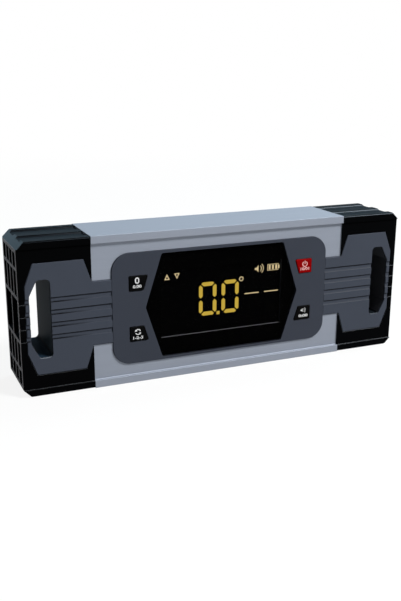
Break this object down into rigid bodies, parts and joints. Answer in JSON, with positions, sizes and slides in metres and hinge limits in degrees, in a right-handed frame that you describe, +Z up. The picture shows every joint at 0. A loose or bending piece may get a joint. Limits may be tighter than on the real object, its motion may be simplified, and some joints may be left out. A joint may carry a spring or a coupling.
{
  "type": "digital spirit level",
  "caption": "Short digital level: aluminium box profile with black end caps, hang slots, an inlaid front panel with display and press keys, and a battery cover behind.",
  "frame": {"origin": "centre of the base, on the surface that the level stands on", "axes": "+X along the level to the right as the display is read, +Y from the display to the rear, +Z up"},
  "size_m": [0.165, 0.027, 0.06],
  "materials": {
    "profile_aluminium": "anodised, fine brushed along its length",
    "cap_black": "moulded black, fine texture",
    "inlay_grey": "moulded slate grey, satin",
    "panel_grey": "moulded dark slate grey, satin",
    "gasket_foam": "closed-cell foam",
    "window_clear": "polished smoked acrylic",
    "mask_black": "printed black film",
    "lcd_glass": "dark display glass",
    "light_guide": "clear to milky",
    "connector_rubber": "layered elastomer",
    "board_green": "solder mask",
    "component_black": "moulded packages",
    "plunger_white": "moulded",
    "key_black": "satin moulded key with a printed sign",
    "key_red": "satin moulded key with a printed sign",
    "tray_black": "moulded black",
    "cell_can": null,
    "contact_steel": "nickel-plated spring strip",
    "screw_steel": "zinc-plated"
  },
  "bodies": {
    "housing": {"body_profile": "profile_aluminium", "end_cap_left": "cap_black", "end_cap_right": "cap_black", "grip_insert_left": "inlay_grey", "grip_insert_right": "inlay_grey", "front_panel": "panel_grey", "panel_gasket": "gasket_foam", "display_window": "window_clear", "window_mask": "mask_black", "lcd_glass": "lcd_glass", "backlight_guide": "light_guide", "lcd_connector": "connector_rubber", "main_board": "board_green", "board_screws": "screw_steel", "controller_chip": "component_black", "tilt_sensor": "component_black", "buzzer": "component_black", "key_switches": "component_black", "battery_tray": "tray_black", "upper_cell": "cell_can", "lower_cell": "cell_can", "contact_bridge": "contact_steel", "contact_positive": "contact_steel", "contact_negative": "contact_steel", "cap_screws": "screw_steel"},
    "zero_button": {"zero_key": "key_black", "zero_plunger": "plunger_white"},
    "mode_button": {"mode_key": "key_black", "mode_plunger": "plunger_white"},
    "power_button": {"power_key": "key_red", "power_plunger": "plunger_white"},
    "hold_button": {"hold_key": "key_black", "hold_plunger": "plunger_white"},
    "rear_cover": {"battery_cover": "tray_black", "cover_screws": "screw_steel"}
  },
  "joints": [
    {"name": "zero_press", "type": "slide", "parent": "housing", "child": "zero_button", "axis": [0, 1, 0], "range_m": [0, 0.0004], "stiffness_N_per_m": 3000, "springref_m": -0.0002},
    {"name": "mode_press", "type": "slide", "parent": "housing", "child": "mode_button", "axis": [0, 1, 0], "range_m": [0, 0.0004], "stiffness_N_per_m": 3000, "springref_m": -0.0002},
    {"name": "power_press", "type": "slide", "parent": "housing", "child": "power_button", "axis": [0, 1, 0], "range_m": [0, 0.0004], "stiffness_N_per_m": 3000, "springref_m": -0.0002},
    {"name": "hold_press", "type": "slide", "parent": "housing", "child": "hold_button", "axis": [0, 1, 0], "range_m": [0, 0.0004], "stiffness_N_per_m": 3000, "springref_m": -0.0002},
    {"name": "cover_lift", "type": "slide", "parent": "housing", "child": "rear_cover", "axis": [0, 1, 0], "range_m": [0, 0.02]}
  ]
}
